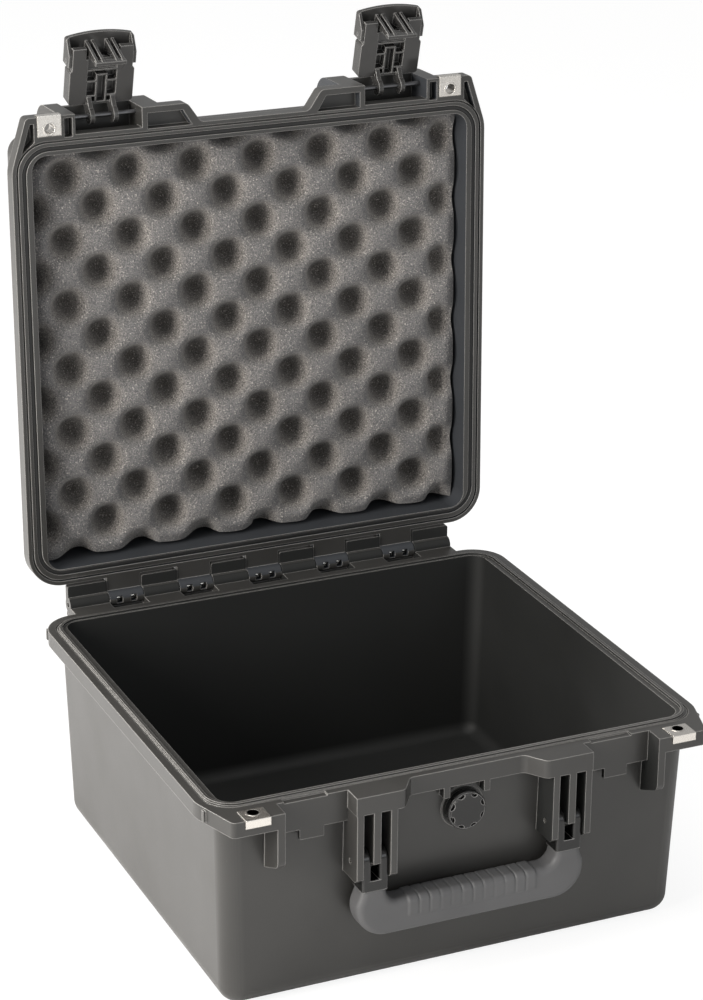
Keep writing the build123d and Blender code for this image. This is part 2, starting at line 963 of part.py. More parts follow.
# Handle grip: the soft cover over the core, ribbed along the bar.
grip_outer = bracket_x + arm_width / 2
grip_inner = bracket_x - arm_width / 2
grip_top_z = pivot_z - grip_top_drop
grip_bottom_z = pivot_z - grip_bottom_drop
grip_shoulder_z = pivot_z - neck_drop
with BuildPart() as handle_grip:
    right = [
        (grip_outer, grip_shoulder_z, 0),
        (grip_outer + grip_outer_extra, grip_top_z, grip_shoulder_round),
        (grip_outer + grip_outer_extra, grip_bottom_z, grip_outer_round),
    ]
    inside = [
        (grip_inner - grip_inner_extra, grip_top_z, grip_inner_round),
        (grip_inner, grip_shoulder_z, 0),
    ]
    path = right + [(-x, z, r) for x, z, r in reversed(right)]
    path += [(-x, z, r) for x, z, r in reversed(inside)] + inside
    cover = profile(
        front_plane(base_frame, pivot_y - grip_half_thickness),
        [(x, z) for x, z, r in path],
        [r for x, z, r in path],
    )
    extrude(cover, amount=-2 * grip_half_thickness)
    long_edges = (
        handle_grip.faces().filter_by(Axis.Y).edges()
        - handle_grip.faces().filter_by(Axis.Z).sort_by(Axis.Z)[-2:].edges()
    )
    fillet(long_edges, grip_edge_round)
    for n in range(rib_count):
        x = (n - (rib_count - 1) / 2) * rib_pitch
        with BuildSketch(side_plane(base_frame, x - rib_width / 2)) as rib:
            with Locations((pivot_y, grip_top_z + rib_raise - rib_drop / 2)):
                RectangleRounded(
                    2 * (grip_half_thickness + rib_raise), rib_drop, grip_edge_round
                )
        extrude(amount=rib_width)
    for name, side in sides:
        block(
            base_frame,
            side * (bracket_x - core_width / 2),
            side * (bracket_x + core_width / 2),
            pivot_y - core_thickness / 2,
            pivot_y + core_thickness / 2,
            core_bar_z - core_width / 2,
            grip_shoulder_z + 1,
            mode=Mode.SUBTRACT,
        )
    block(
        base_frame,
        -bracket_x,
        bracket_x,
        pivot_y - core_thickness / 2,
        pivot_y + core_thickness / 2,
        core_bar_z - core_width / 2,
        core_bar_z + core_width / 2,
        mode=Mode.SUBTRACT,
    )
handle_grip.part.label = "handle_grip"
export_step(handle_grip.part, "parts/handle_grip.step")

# Lid shell, standing open.
lid_plane = lid_frame.offset(lid_rim)
roof_height = lid_height - roof_thickness
roof_taper = lid_draft * roof_height / lid_height
with BuildPart() as lid_shell:
    loft(
        [
            rounded_box_section(lid_plane, body_width, body_depth, body_middle, corner_radius),
            rounded_box_section(
                lid_frame.offset(lid_top),
                body_width - 2 * lid_draft,
                body_depth - 2 * lid_draft,
                body_middle,
                corner_radius,
            ),
        ]
    )
    fillet(lid_shell.faces().sort_by(Axis(lid_frame.origin, lid_frame.z_dir))[-1].edges(), lid_round)
    extrude(flange_outline(lid_plane, 0), amount=skirt_height)
    for name, side in sides:
        # Guards beside the latch.
        guard_points = [
            (front_face + lid_round, lid_rim),
            (ear_front, lid_rim),
            (ear_front, lid_top - guard_shoulder),
            (front_face + lid_round, lid_top - 1),
        ]
        for x, width in (
            (zone_inner_x - guard_inner_width, guard_inner_width),
            (fin_x, guard_outer_width),
        ):
            guard = profile(side_plane(lid_frame, side * x), guard_points, [0, 0, guard_round, 0])
            extrude(guard, amount=side * width)
        # Web behind the latch, between its guards.
        block(
            lid_frame,
            side * (zone_inner_x - web_overlap),
            side * (fin_x + web_overlap),
            ear_front,
            front_face + front_wall / 2,
            back_web_rise,
            back_web_rise + back_web_thickness,
        )
    # Hinge knuckles and their webs.
    for x in lid_knuckle_places:
        knuckle = profile(
            side_plane(lid_frame, x - lid_knuckle / 2),
            [
                (flange_back - web_overlap, lid_rim),
                (flange_back - web_overlap, lid_rim + skirt_height),
                (0, knuckle_radius),
                (0, lid_rim),
            ],
        )
        extrude(knuckle, amount=lid_knuckle)
        rod_along_x(
            lid_frame, x - lid_knuckle / 2, x + lid_knuckle / 2, 0, 0, knuckle_radius
        )
    # Cavity.
    loft(
        [
            rounded_box_section(lid_plane, cavity_width, cavity_depth, cavity_middle, cavity_corner),
            rounded_box_section(
                lid_plane.offset(roof_height),
                cavity_width - 2 * roof_taper,
                cavity_depth - 2 * roof_taper,
                cavity_middle,
                cavity_corner,
            ),
        ],
        mode=Mode.SUBTRACT,
    )
    # Seal groove and the thin line outside it.
    extrude(
        rim_ring(lid_plane, tongue_inset, tongue_front_y, tongue_back_y, groove_width, tongue_corner),
        amount=groove_depth,
        mode=Mode.SUBTRACT,
    )
    extrude(
        rim_ring(
            lid_plane,
            lid_line_inset,
            flange_front + lid_line_inset,
            flange_back - lid_line_inset,
            lid_line_width,
            flange_corner - lid_line_inset,
        ),
        amount=lid_line_depth,
        mode=Mode.SUBTRACT,
    )
    for name, side in sides:
        # Pocket of the boss beside the bridge.
        boss_pocket = profile(
            lid_plane,
            [
                (side * (zone_inner_x - cap_pocket_inset), ear_front + ear_pocket_wall),
                (side * (half_width - cap_inner + cap_pocket_side), ear_front + ear_pocket_wall),
                (side * (half_width - cap_inner - cap_pocket_slope), flange_front + cap_pocket_back),
                (side * (zone_inner_x - cap_pocket_inset), flange_front + cap_pocket_back),
            ],
        )
        extrude(boss_pocket, amount=pocket_depth, mode=Mode.SUBTRACT)
        # Box recess of the outer guard and the corner pocket of the ear.
        block(
            lid_frame,
            side * (fin_x + fin_pocket_start),
            side * (fin_x + fin_pocket_end),
            ear_front + pocket_wall,
            flange_front + cap_pocket_back,
            lid_rim - 1,
            lid_rim + pocket_depth,
            mode=Mode.SUBTRACT,
        )
        ear_pocket = profile(
            lid_plane,
            [
                (side * (half_width - ear_pocket_inset), ear_front + ear_pocket_wall),
                (side * (half_width - ear_pocket_near), ear_front + ear_pocket_wall),
                (side * (half_width - ear_pocket_far), ear_front + ear_pocket_outer),
                (side * (half_width - ear_pocket_inset), ear_front + ear_pocket_inner),
            ],
        )
        extrude(ear_pocket, amount=pocket_depth, mode=Mode.SUBTRACT)
        # Seat of the padlock plate and bore of its eyelet.
        block(
            lid_frame,
            side * (eyelet_x - plate_width / 2 - plate_clearance),
            side * (eyelet_x + plate_width / 2 + plate_clearance),
            ear_front - 1,
            ear_front + plate_back + plate_clearance,
            lid_rim - 1,
            lid_rim + plate_sheet - plate_raise,
            mode=Mode.SUBTRACT,
        )
        rod_upright(
            lid_frame,
            side * eyelet_x,
            eyelet_y,
            lid_rim - 1,
            lid_rim + skirt_height + 1,
            eyelet_outer + running_clearance,
            mode=Mode.SUBTRACT,
        )
        # Bore of the latch rod.
        rod_along_x(
            lid_frame,
            side * (latch_x - rod_half_length - 0.5),
            side * (latch_x + rod_half_length + 0.5),
            rod_y,
            rod_rise,
            rod_radius + running_clearance,
            mode=Mode.SUBTRACT,
        )
    # Windows in the knuckles that show the pin, and the pin bore.
    for x in lid_knuckle_places:
        for edge in (-1, 1):
            middle = x + edge * knuckle_slot_offset
            block(
                lid_frame,
                middle - knuckle_slot / 2,
                middle + knuckle_slot / 2,
                -knuckle_window / 2,
                knuckle_window / 2,
                -knuckle_radius - 1,
                0,
                mode=Mode.SUBTRACT,
            )
    rod_along_x(
        lid_frame,
        -block_outer_x,
        block_outer_x,
        0,
        0,
        pin_radius + running_clearance,
        mode=Mode.SUBTRACT,
    )
lid_shell.part.label = "lid_shell"
export_step(lid_shell.part, "parts/lid_shell.step")

# Lid seal, at the bottom of its groove.
seal_face = base_height + tongue_height + seal_gap - hinge_z
seal_height = lid_rim + groove_depth - seal_face
with BuildPart() as lid_seal:
    extrude(
        rim_ring(
            lid_frame.offset(seal_face),
            tongue_inset,
            tongue_front_y,
            tongue_back_y,
            groove_width - 2 * seal_clearance,
            tongue_corner,
        ),
        amount=seal_height,
    )
lid_seal.part.label = "lid_seal"
export_step(lid_seal.part, "parts/lid_seal.step")

# Foam liner of the lid.
foam_width = cavity_width - 2 * (roof_taper + foam_gap)
foam_depth = cavity_depth - 2 * (roof_taper + foam_gap)
with BuildPart() as lid_foam:
    extrude(
        rounded_box_section(
            lid_plane.offset(foam_face), foam_width, foam_depth, cavity_middle, foam_corner
        ),
        amount=roof_height - foam_face,
    )
lid_foam.part.label = "lid_foam"
export_step(lid_foam.part, "parts/lid_foam.step")

# Latches, standing open in line with the lid.
for name, side in sides:
    x = side * latch_x
    with BuildPart() as latch_rod:
        rod_along_x(
            lid_frame, x - rod_half_length, x + rod_half_length, rod_y, rod_rise, rod_radius
        )
    latch_rod.part.label = f"latch_rod_{name}"
    export_step(latch_rod.part, f"parts/latch_rod_{name}.step")

    with BuildPart() as latch_body:
        # Front plate, two rails under the button and two arms to the rod.
        block(
            latch_frame,
            x - latch_half_width,
            x + latch_half_width,
            rod_y - latch_step,
            rod_y - latch_top,
            rod_rise + latch_face,
            rod_rise + latch_back,
        )
        upright = Axis(latch_frame.origin, latch_frame.z_dir)
        fillet(latch_body.edges().filter_by(upright), latch_round)
        # Well of the plate, with a spine and two pairs of ribs.
        block(
            latch_frame,
            x - well_half_width,
            x + well_half_width,
            rod_y - well_end,
            rod_y - well_start,
            rod_rise + latch_face,
            rod_rise + latch_face + well_depth,
            mode=Mode.SUBTRACT,
        )
        block(
            latch_frame,
            x - spine_half_width,
            x + spine_half_width,
            rod_y - spine_end,
            rod_y - spine_end + well_rib,
            rod_rise + latch_face,
            rod_rise + latch_face + well_depth,
        )
        for edge in (-1, 1):
            block(
                latch_frame,
                x + edge * (spine_half_width - well_rib),
                x + edge * spine_half_width,
                rod_y - spine_end,
                rod_y - well_start,
                rod_rise + latch_face,
                rod_rise + latch_face + well_depth,
            )
            for place in well_rib_places:
                block(
                    latch_frame,
                    x + edge * (spine_half_width - well_rib),
                    x + edge * well_half_width,
                    rod_y - place - well_rib,
                    rod_y - place,
                    rod_rise + latch_face,
                    rod_rise + latch_face + well_depth,
                )
        block(
            latch_frame,
            x - rail_half_width,
            x + rail_half_width,
            rod_y - centre_end,
            rod_y - latch_step + 1,
            rod_rise + latch_face,
            rod_rise + rail_back,
        )
        block(
            latch_frame,
            x - well_half_width,
            x + well_half_width,
            rod_y - centre_end - 1,
            rod_y - latch_step,
            rod_rise + latch_face - 1,
            rod_rise + latch_face + channel_depth,
            mode=Mode.SUBTRACT,
        )
        for edge in (-1, 1):
            block(
                latch_frame,
                x + edge * rail_inner,
                x + edge * rail_half_width,
                rod_y - latch_end,
                rod_y - centre_end + 1,
                rod_rise + latch_face,
                rod_rise + rail_back,
            )
            lug = profile(
                side_plane(latch_frame, x + edge * lug_inner),
                [
                    (rod_y - button_pin_reach - lug_radius, rod_rise + rail_back - 1),
                    (rod_y - button_pin_reach - lug_radius, rod_rise + button_pin_rise),
                    (rod_y - button_pin_reach + lug_radius, rod_rise + button_pin_rise),
                    (rod_y - button_pin_reach + lug_radius, rod_rise + rail_back - 1),
                ],
            )
            extrude(lug, amount=edge * (rail_half_width - lug_inner))
            rod_along_x(
                latch_frame,
                x + edge * lug_inner,
                x + edge * rail_half_width,
                rod_y - button_pin_reach,
                rod_rise + button_pin_rise,
                lug_radius,
            )
            arm_start = x + edge * arm_offset - latch_arm_width / 2
            arm = profile(
                side_plane(latch_frame, arm_start),
                [
                    (rod_y, rod_rise - arm_radius),
                    (rod_y - latch_top - arm_root, rod_rise + latch_face),
                    (rod_y - latch_top - arm_root, rod_rise + latch_back - arm_inset),
                    (rod_y - latch_top, rod_rise + latch_back - arm_inset),
                    (rod_y, rod_rise + arm_radius),
                ],
            )
            extrude(arm, amount=latch_arm_width)
            rod_along_x(
                latch_frame, arm_start, arm_start + latch_arm_width, rod_y, rod_rise, arm_radius
            )
        rod_along_x(
            latch_frame,
            x - latch_half_width - 1,
            x + latch_half_width + 1,
            rod_y,
            rod_rise,
            rod_radius + running_clearance,
            mode=Mode.SUBTRACT,
        )
        rod_along_x(
            latch_frame,
            x - latch_half_width - 1,
            x + latch_half_width + 1,
            rod_y - button_pin_reach,
            rod_rise + button_pin_rise,
            button_pin_radius + running_clearance,
            mode=Mode.SUBTRACT,
        )
    latch_body.part.label = f"latch_body_{name}"
    export_step(latch_body.part, f"parts/latch_body_{name}.step")

    with BuildPart() as button_pin:
        rod_along_x(
            latch_frame,
            x - button_half_width + button_pin_inset,
            x + button_half_width - button_pin_inset,
            rod_y - button_pin_reach,
            rod_rise + button_pin_rise,
            button_pin_radius,
        )
    button_pin.part.label = f"button_pin_{name}"
    export_step(button_pin.part, f"parts/button_pin_{name}.step")

    with BuildPart() as latch_button:
        # Arched cover plate between two tapered cheeks.
        cover_middle = rod_y - (button_start + button_end) / 2
        with BuildSketch(latch_frame.offset(rod_rise + button_inner)) as cover_outline:
            with Locations((x, cover_middle)):
                Rectangle(2 * button_half_width, button_end - button_start)
            with Locations((x, rod_y - button_end + button_arch)):
                Circle(button_arch, mode=Mode.INTERSECT)
            fillet(cover_outline.vertices().sort_by(Axis.Y)[:2], button_corner)
        extrude(amount=button_outer - button_inner)
        block(
            latch_frame,
            x - button_half_width + button_cheek,
            x + button_half_width - button_cheek,
            rod_y - button_end - 1,
            rod_y - button_start + 1,
            rod_rise + button_inner - 1,
            rod_rise + button_under,
            mode=Mode.SUBTRACT,
        )
        taper = profile(
            side_plane(latch_frame, x - button_half_width - 1),
            [
                (rod_y - button_taper_start, rod_rise + button_inner - 1),
                (rod_y - button_taper_end, rod_rise + button_under),
                (rod_y - button_end - 1, rod_rise + button_under),
                (rod_y - button_end - 1, rod_rise + button_inner - 1),
            ],
        )
        extrude(taper, amount=2 * button_half_width + 2, mode=Mode.SUBTRACT)
        for place in fin_offsets:
            hook_side = profile(
                side_plane(latch_frame, x + place - hook_fin / 2),
                [
                    (rod_y - hook_start + 2, rod_rise + button_under + 1),
                    (rod_y - hook_end - hook_root, rod_rise + button_under + 1),
                    (rod_y - hook_end - hook_waist, rod_rise + latch_face),
                    (rod_y - hook_end, rod_rise - hook_reach),
                    (rod_y - hook_start, rod_rise - hook_reach),
                    (rod_y - hook_start + 1, rod_rise + latch_face),
                ],
            )
            extrude(hook_side, amount=hook_fin)
        block(
            latch_frame,
            x - hook_half_width,
            x + hook_half_width,
            rod_y - hook_end,
            rod_y - hook_start,
            rod_rise - hook_reach,
            rod_rise - hook_reach + hook_height,
        )
        rod_along_x(
            latch_frame,
            x - button_half_width - 1,
            x + button_half_width + 1,
            rod_y - button_pin_reach,
            rod_rise + button_pin_rise,
            button_pin_radius + running_clearance,
            mode=Mode.SUBTRACT,
        )
    latch_button.part.label = f"latch_button_{name}"
    export_step(latch_button.part, f"parts/latch_button_{name}.step")

    with BuildPart() as button_spring:
        # Closely wound coil round the pin with a leg under the cover.
        rod_along_x(
            latch_frame,
            x - spring_half_length,
            x + spring_half_length,
            rod_y - button_pin_reach,
            rod_rise + button_pin_rise,
            spring_outer,
        )
        block(
            latch_frame,
            x - spring_half_length,
            x - spring_half_length + spring_leg,
            rod_y - button_pin_reach,
            rod_y - button_pin_reach - spring_leg_length,
            rod_rise + button_pin_rise + spring_outer - spring_leg,
            rod_rise + button_pin_rise + spring_outer,
        )
        rod_along_x(
            latch_frame,
            x - spring_half_length - 1,
            x + spring_half_length + 1,
            rod_y - button_pin_reach,
            rod_rise + button_pin_rise,
            button_pin_radius + running_clearance,
            mode=Mode.SUBTRACT,
        )
    button_spring.part.label = f"button_spring_{name}"
    export_step(button_spring.part, f"parts/button_spring_{name}.step")
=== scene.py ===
import json
import math

import bmesh
import bpy
from mathutils import Matrix, Vector


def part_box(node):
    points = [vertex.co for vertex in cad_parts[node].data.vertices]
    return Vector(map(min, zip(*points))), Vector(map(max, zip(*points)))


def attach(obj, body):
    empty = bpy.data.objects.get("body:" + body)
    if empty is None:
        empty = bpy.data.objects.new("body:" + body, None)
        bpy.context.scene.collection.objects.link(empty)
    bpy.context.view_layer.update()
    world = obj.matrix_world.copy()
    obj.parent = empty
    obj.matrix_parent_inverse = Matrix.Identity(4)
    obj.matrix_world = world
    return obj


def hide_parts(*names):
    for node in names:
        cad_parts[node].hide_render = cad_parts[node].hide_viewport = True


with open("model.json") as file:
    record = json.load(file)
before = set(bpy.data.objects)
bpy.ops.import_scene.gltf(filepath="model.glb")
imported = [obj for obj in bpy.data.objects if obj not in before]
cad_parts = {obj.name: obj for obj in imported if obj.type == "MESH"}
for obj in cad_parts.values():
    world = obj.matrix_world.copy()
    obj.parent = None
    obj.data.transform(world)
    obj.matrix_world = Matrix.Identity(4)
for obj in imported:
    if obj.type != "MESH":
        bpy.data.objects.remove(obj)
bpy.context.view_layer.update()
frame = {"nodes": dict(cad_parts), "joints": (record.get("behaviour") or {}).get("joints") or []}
nodes = frame["nodes"]
print("frame loaded:", len(nodes), "nodes")

# Where the lid stands, read from its joint.
lidJoint = next(joint for joint in frame["joints"] if joint["name"] == "lid_hinge")
hingePoint = Vector(lidJoint["pos_m"])
openAngle = math.radians(lidJoint["range_deg"][1])
lidUp = Vector((0, math.sin(openAngle), math.cos(openAngle)))  # out through the roof
lidBack = Vector((0, math.cos(openAngle), -math.sin(openAngle)))  # towards the hinge
lidMatrix = Matrix.Translation(hingePoint) @ Matrix((
    (1, 0, 0, 0),
    (0, lidBack.y, lidUp.y, 0),
    (0, lidBack.z, lidUp.z, 0),
    (0, 0, 0, 1),
))


# Small helpers for building objects.

def addObject(name, bm, material):
    mesh = bpy.data.meshes.new(name)
    bm.to_mesh(mesh)
    bm.free()
    piece = bpy.data.objects.new(name, mesh)
    bpy.context.scene.collection.objects.link(piece)
    piece.data.materials.append(material)
    return piece


def shadeSmooth(piece, angle=40):
    bpy.context.view_layer.objects.active = piece
    for other in bpy.context.selected_objects:
        other.select_set(False)
    piece.select_set(True)
    bpy.ops.object.shade_smooth_by_angle(angle=math.radians(angle))
    piece.select_set(False)


def applyModifiers(piece):
    depsgraph = bpy.context.evaluated_depsgraph_get()
    finished = bpy.data.meshes.new_from_object(piece.evaluated_get(depsgraph))
    old = piece.data
    piece.modifiers.clear()
    piece.data = finished
    bpy.data.meshes.remove(old)


# Shader node groups shared by the materials.

def newGroup(name, inputs, outputs):
    group = bpy.data.node_groups.new(name, "ShaderNodeTree")
    for socketName, kind, value in inputs:
        socket = group.interface.new_socket(socketName, in_out="INPUT", socket_type=kind)
        if value is not None:
            socket.default_value = value
    for socketName, kind in outputs:
        group.interface.new_socket(socketName, in_out="OUTPUT", socket_type=kind)
    return group, group.nodes.new("NodeGroupInput"), group.nodes.new("NodeGroupOutput")


def makeGrainGroup():
    # Fine moulded texture: an even stipple with a broad unevenness.
    group, source, sink = newGroup(
        "mouldGrain",
        [("Scale", "NodeSocketFloat", 2200.0), ("Broad", "NodeSocketFloat", 18.0)],
        [("Height", "NodeSocketFloat"), ("Variation", "NodeSocketFloat")],
    )
    place = group.nodes.new("ShaderNodeTexCoord")
    fine = group.nodes.new("ShaderNodeTexNoise")
    fine.inputs["Detail"].default_value = 3.0
    fine.inputs["Roughness"].default_value = 0.6
    broad = group.nodes.new("ShaderNodeTexNoise")
    broad.inputs["Detail"].default_value = 4.0
    links = group.links
    links.new(place.outputs["Object"], fine.inputs["Vector"])
    links.new(place.outputs["Object"], broad.inputs["Vector"])
    links.new(source.outputs["Scale"], fine.inputs["Scale"])
    links.new(source.outputs["Broad"], broad.inputs["Scale"])
    links.new(fine.outputs["Fac"], sink.inputs["Height"])
    links.new(broad.outputs["Fac"], sink.inputs["Variation"])
    return group


def makeEdgeGroup():
    # Softened edges: a rounded normal, and a mask where it leaves the true one; the mask carries the
    # painted edge highlight.
    edgeRadius = 0.0011
    group, source, sink = newGroup(
        "softEdges",
        [("Sharpness", "NodeSocketFloat", 9.0)],
        [("Mask", "NodeSocketFloat"), ("Normal", "NodeSocketVector")],
    )
    bevel = group.nodes.new("ShaderNodeBevel")
    bevel.samples = 6
    bevel.inputs["Radius"].default_value = edgeRadius
    geometry = group.nodes.new("ShaderNodeNewGeometry")
    dot = group.nodes.new("ShaderNodeVectorMath")
    dot.operation = "DOT_PRODUCT"
    away = group.nodes.new("ShaderNodeMath")
    away.operation = "SUBTRACT"
    away.inputs[0].default_value = 1.0
    gain = group.nodes.new("ShaderNodeMath")
    gain.operation = "MULTIPLY"
    gain.use_clamp = True
    links = group.links
    links.new(bevel.outputs["Normal"], dot.inputs[0])
    links.new(geometry.outputs["True Normal"], dot.inputs[1])
    links.new(dot.outputs["Value"], away.inputs[1])
    links.new(away.outputs["Value"], gain.inputs[0])
    links.new(source.outputs["Sharpness"], gain.inputs[1])
    links.new(gain.outputs["Value"], sink.inputs["Mask"])
    links.new(bevel.outputs["Normal"], sink.inputs["Normal"])
    return group


def makeScuffGroup():
    # Sparse handling marks: short thin streaks, gated by a broad noise.
    values = {
        "turn": (0.5, 0.3, 0.9),
        "stretch": (1.0, 9.0, 1.6),
        "streakRange": (0.66, 0.78),
        "patchScale": 9.0,
        "patchRange": (0.5, 0.68),
    }
    group, source, sink = newGroup(
        "handlingMarks",
        [("Scale", "NodeSocketFloat", 30.0), ("Amount", "NodeSocketFloat", 0.4)],
        [("Mask", "NodeSocketFloat")],
    )
    place = group.nodes.new("ShaderNodeTexCoord")
    stretch = group.nodes.new("ShaderNodeMapping")
    stretch.inputs["Rotation"].default_value = values["turn"]
    stretch.inputs["Scale"].default_value = values["stretch"]
    streak = group.nodes.new("ShaderNodeTexNoise")
    streak.inputs["Detail"].default_value = 6.0
    streak.inputs["Roughness"].default_value = 0.7
    thin = group.nodes.new("ShaderNodeMapRange")
    thin.inputs["From Min"].default_value, thin.inputs["From Max"].default_value = values["streakRange"]
    patch = group.nodes.new("ShaderNodeTexNoise")
    patch.inputs["Scale"].default_value = values["patchScale"]
    gate = group.nodes.new("ShaderNodeMapRange")
    gate.inputs["From Min"].default_value, gate.inputs["From Max"].default_value = values["patchRange"]
    both = group.nodes.new("ShaderNodeMath")
    both.operation = "MULTIPLY"
    scaled = group.nodes.new("ShaderNodeMath")
    scaled.operation = "MULTIPLY"
    scaled.use_clamp = True
    links = group.links
    links.new(place.outputs["Object"], stretch.inputs["Vector"])
    links.new(stretch.outputs["Vector"], streak.inputs["Vector"])
    links.new(place.outputs["Object"], patch.inputs["Vector"])
    links.new(source.outputs["Scale"], streak.inputs["Scale"])
    links.new(streak.outputs["Fac"], thin.inputs["Value"])
    links.new(patch.outputs["Fac"], gate.inputs["Value"])
    links.new(thin.outputs["Result"], both.inputs[0])
    links.new(gate.outputs["Result"], both.inputs[1])
    links.new(both.outputs["Value"], scaled.inputs[0])
    links.new(source.outputs["Amount"], scaled.inputs[1])
    links.new(scaled.outputs["Value"], sink.inputs["Mask"])
    return group


def makeInsideShadeGroup():
    # One on faces that look towards the middle of a hollow piece, where the shells get painted shade.
    # The normal is turned into the piece's own space, so the mask holds in every pose.
    inwardLimit = -0.003
    group, source, sink = newGroup(
        "insideShadeFaces",
        [("Centre", "NodeSocketVector", None)],
        [("Mask", "NodeSocketFloat")],
    )
    place = group.nodes.new("ShaderNodeTexCoord")
    geometry = group.nodes.new("ShaderNodeNewGeometry")
    own = group.nodes.new("ShaderNodeVectorTransform")
    own.vector_type = "NORMAL"
    own.convert_from = "WORLD"
    own.convert_to = "OBJECT"
    reach = group.nodes.new("ShaderNodeVectorMath")
    reach.operation = "SUBTRACT"
    dot = group.nodes.new("ShaderNodeVectorMath")
    dot.operation = "DOT_PRODUCT"
    inward = group.nodes.new("ShaderNodeMath")
    inward.operation = "LESS_THAN"
    inward.inputs[1].default_value = inwardLimit
    links = group.links
    links.new(place.outputs["Object"], reach.inputs[0])
    links.new(source.outputs["Centre"], reach.inputs[1])
    links.new(geometry.outputs["True Normal"], own.inputs["Vector"])
    links.new(own.outputs["Vector"], dot.inputs[0])
    links.new(reach.outputs["Vector"], dot.inputs[1])
    links.new(dot.outputs["Value"], inward.inputs[0])
    links.new(inward.outputs["Value"], sink.inputs["Mask"])
    return group


grainGroup = makeGrainGroup()
edgeGroup = makeEdgeGroup()
scuffGroup = makeScuffGroup()
insideShadeGroup = makeInsideShadeGroup()


def placeGroup(tree, group, **values):
    node = tree.nodes.new("ShaderNodeGroup")
    node.node_tree = group
    for socketName, value in values.items():
        node.inputs[socketName].default_value = value
    return node


def mixColour(tree, mask, first, second):
    # Blends two colours by a mask; each is a socket or four numbers.
    mix = tree.nodes.new("ShaderNodeMix")
    mix.data_type = "RGBA"
    tree.links.new(mask, mix.inputs["Factor"])
    for socket, value in ((mix.inputs[6], first), (mix.inputs[7], second)):
        if isinstance(value, bpy.types.NodeSocket):
            tree.links.new(value, socket)
        else:
            socket.default_value = value
    return mix.outputs[2]


def rangeOf(tree, value, low, high, fromLow=0.0, fromHigh=1.0):
    node = tree.nodes.new("ShaderNodeMapRange")
    node.inputs["From Min"].default_value = fromLow
    node.inputs["From Max"].default_value = fromHigh
    node.inputs["To Min"].default_value = low
    node.inputs["To Max"].default_value = high
    tree.links.new(value, node.inputs["Value"])
    return node.outputs["Result"]


def newMaterial(name):
    material = bpy.data.materials.new(name)
    material.use_nodes = True
    shader = material.node_tree.nodes["Principled BSDF"]
    return material, material.node_tree, shader


def bumpOver(tree, height, normal, strength, distance):
    bump = tree.nodes.new("ShaderNodeBump")
    bump.inputs["Strength"].default_value = strength
    bump.inputs["Distance"].default_value = distance
    tree.links.new(height, bump.inputs["Height"])
    if normal is not None:
        tree.links.new(normal, bump.inputs["Normal"])
    return bump.outputs["Normal"]


def mouldedPlastic(name, colour, wornAndEdgeHighlight, roughness, grainScale, grainDepth, specular, edgeHighlightShow,
                   insideShade=None, centre=None):
    # Moulded thermoplastic: stipple, uneven sheen, paler edges painted as a highlight and faint marks.
    # A hollow piece can have painted shade inside, as a darker colour, and a duller sheen there.
    values = {
        "tintSpread": 0.1,
        "sheenSpread": 0.05,
        "insideDulling": 0.35,
        "bumpStrength": 0.5,
    }
    dimmer, brighter = 1 - values["tintSpread"], 1 + values["tintSpread"]
    material, tree, shader = newMaterial(name)
    grain = placeGroup(tree, grainGroup, Scale=grainScale, Broad=14.0)
    edges = placeGroup(tree, edgeGroup, Sharpness=7.0)
    marks = placeGroup(tree, scuffGroup, Scale=26.0, Amount=0.35)
    # Painted highlight: the edges get a paler colour in place of light caught on rounded edges; the
    # handling marks share this colour.
    edgeHighlightMask = rangeOf(tree, edges.outputs["Mask"], 0.0, edgeHighlightShow)
    tinted = mixColour(tree, rangeOf(tree, grain.outputs["Variation"], 0.0, 1.0, 0.35, 0.65),
                       [c * dimmer for c in colour] + [1], [c * brighter for c in colour] + [1])
    marked = mixColour(tree, marks.outputs["Mask"], tinted, [*wornAndEdgeHighlight, 1])
    withPaintedLight = mixColour(tree, edgeHighlightMask, marked, [*wornAndEdgeHighlight, 1])
    sheen = rangeOf(tree, grain.outputs["Variation"], roughness - values["sheenSpread"],
                    roughness + values["sheenSpread"], 0.3, 0.7)
    # Painted shade: the inward faces of a hollow piece get a darker colour in place of the shade inside
    # it.
    if insideShade is not None:
        hollowShadeMask = placeGroup(tree, insideShadeGroup, Centre=centre)
        withPaintedLight = mixColour(tree, hollowShadeMask.outputs["Mask"], withPaintedLight, [*insideShade, 1])
        duller = rangeOf(tree, hollowShadeMask.outputs["Mask"], 0.0, values["insideDulling"])
        total = tree.nodes.new("ShaderNodeMath")
        total.operation = "ADD"
        total.use_clamp = True
        tree.links.new(sheen, total.inputs[0])
        tree.links.new(duller, total.inputs[1])
        sheen = total.outputs["Value"]
    tree.links.new(withPaintedLight, shader.inputs["Base Color"])
    tree.links.new(sheen, shader.inputs["Roughness"])
    tree.links.new(
        bumpOver(tree, grain.outputs["Height"], edges.outputs["Normal"],
                 values["bumpStrength"], grainDepth),
        shader.inputs["Normal"],
    )
    shader.inputs["Specular IOR Level"].default_value = specular
    return material


